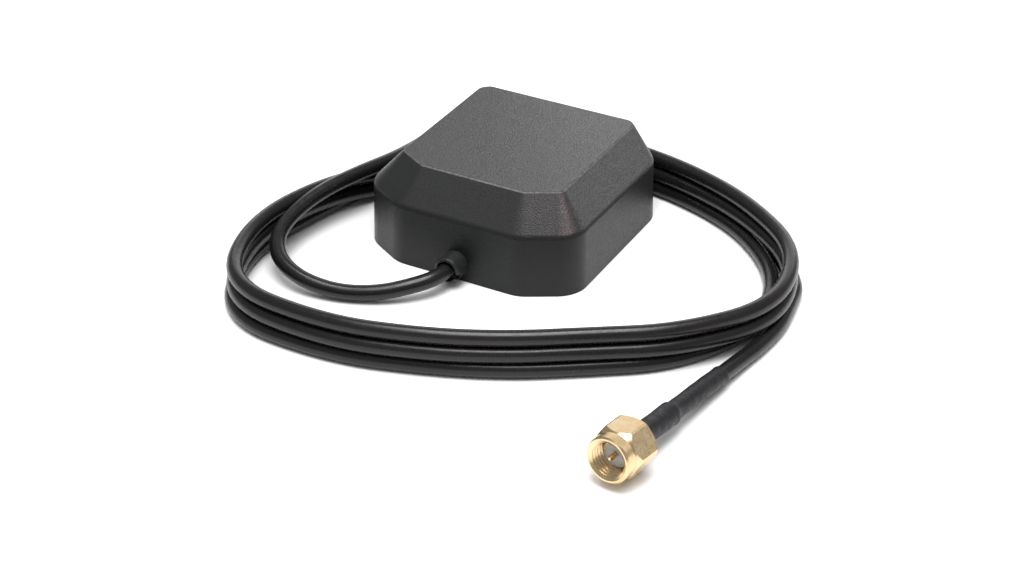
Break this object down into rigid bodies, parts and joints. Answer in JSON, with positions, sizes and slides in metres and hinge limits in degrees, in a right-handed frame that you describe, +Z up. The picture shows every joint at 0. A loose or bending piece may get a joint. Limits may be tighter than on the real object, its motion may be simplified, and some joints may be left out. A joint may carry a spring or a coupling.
{
  "type": "active gnss patch antenna",
  "caption": "Low square-cornered black antenna housing with a magnetic base, and a thin coax lead coiled round it that ends in an SMA plug.",
  "frame": {"origin": "middle of the housing's footprint, on the surface that it stands on", "axes": "+Z up through the radome; -Y is the wall that the cable leaves by; X across it"},
  "size_m": [0.095, 0.0961, 0.0172],
  "materials": {
    "housing_plastic": "fine spark-eroded grain, satin black",
    "base_plastic": "plain black moulding",
    "gasket_rubber": "dark grey silicone",
    "pad_rubber": "black, fine ribbed",
    "magnet_nickel": "nickel plated",
    "screw_steel": "zinc plated",
    "ceramic": "fired ceramic, cream",
    "silver_film": "fired silver",
    "adhesive_foam": "white double-sided tape",
    "tinned_brass": "tinned",
    "board_laminate": "green solder mask",
    "can_steel": "tin plated sheet",
    "chip_plastic": "moulded epoxy",
    "passive_ceramic": "tan ceramic with tinned ends",
    "coax_dielectric": "natural polyethylene",
    "copper": "copper-clad steel",
    "braid_tin": "tinned copper braid",
    "cable_jacket": "semi-gloss black PVC",
    "relief_rubber": "moulded black",
    "shrink_tube": "black polyolefin heat-shrink",
    "gold_brass": "gold plated, satin",
    "seal_silicone": "red silicone",
    "ptfe": "white PTFE"
  },
  "bodies": {
    "antenna": {"radome_cover": "housing_plastic", "base_plate": "base_plastic", "base_gasket": "gasket_rubber", "rubber_pad": "pad_rubber", "magnets": "magnet_nickel", "base_screws": "screw_steel", "ceramic_patch": "ceramic", "patch_electrode": "silver_film", "ground_electrode": "silver_film", "adhesive_pad": "adhesive_foam", "feed_pin": "tinned_brass", "lna_board": "board_laminate", "shield_can": "can_steel", "amplifier_chips": "chip_plastic", "saw_filters": "passive_ceramic", "chip_passives": "passive_ceramic", "coax_dielectric": "coax_dielectric", "coax_conductor": "copper", "coax_braid": "braid_tin", "cable_entry": "cable_jacket", "strain_relief": "relief_rubber", "cable_lead_in": "cable_jacket", "cable_coil": "cable_jacket", "cable_lead_out": "cable_jacket", "cable_end": "cable_jacket", "heat_shrink": "shrink_tube", "crimp_ferrule": "gold_brass", "braid_end": "braid_tin", "core_end": "coax_dielectric", "plug_body": "gold_brass", "retaining_ring": "gold_brass", "plug_seal": "seal_silicone", "plug_insulator": "ptfe", "plug_pin": "gold_brass"},
    "nut": {"coupling_nut": "gold_brass"}
  },
  "joints": [
    {"name": "nut_spin", "type": "hinge", "parent": "antenna", "child": "nut", "pos_m": [0.0495, -0.0633, 0.00525], "axis": [-0.1248, -0.9879, 0.0924], "continuous": true}
  ]
}
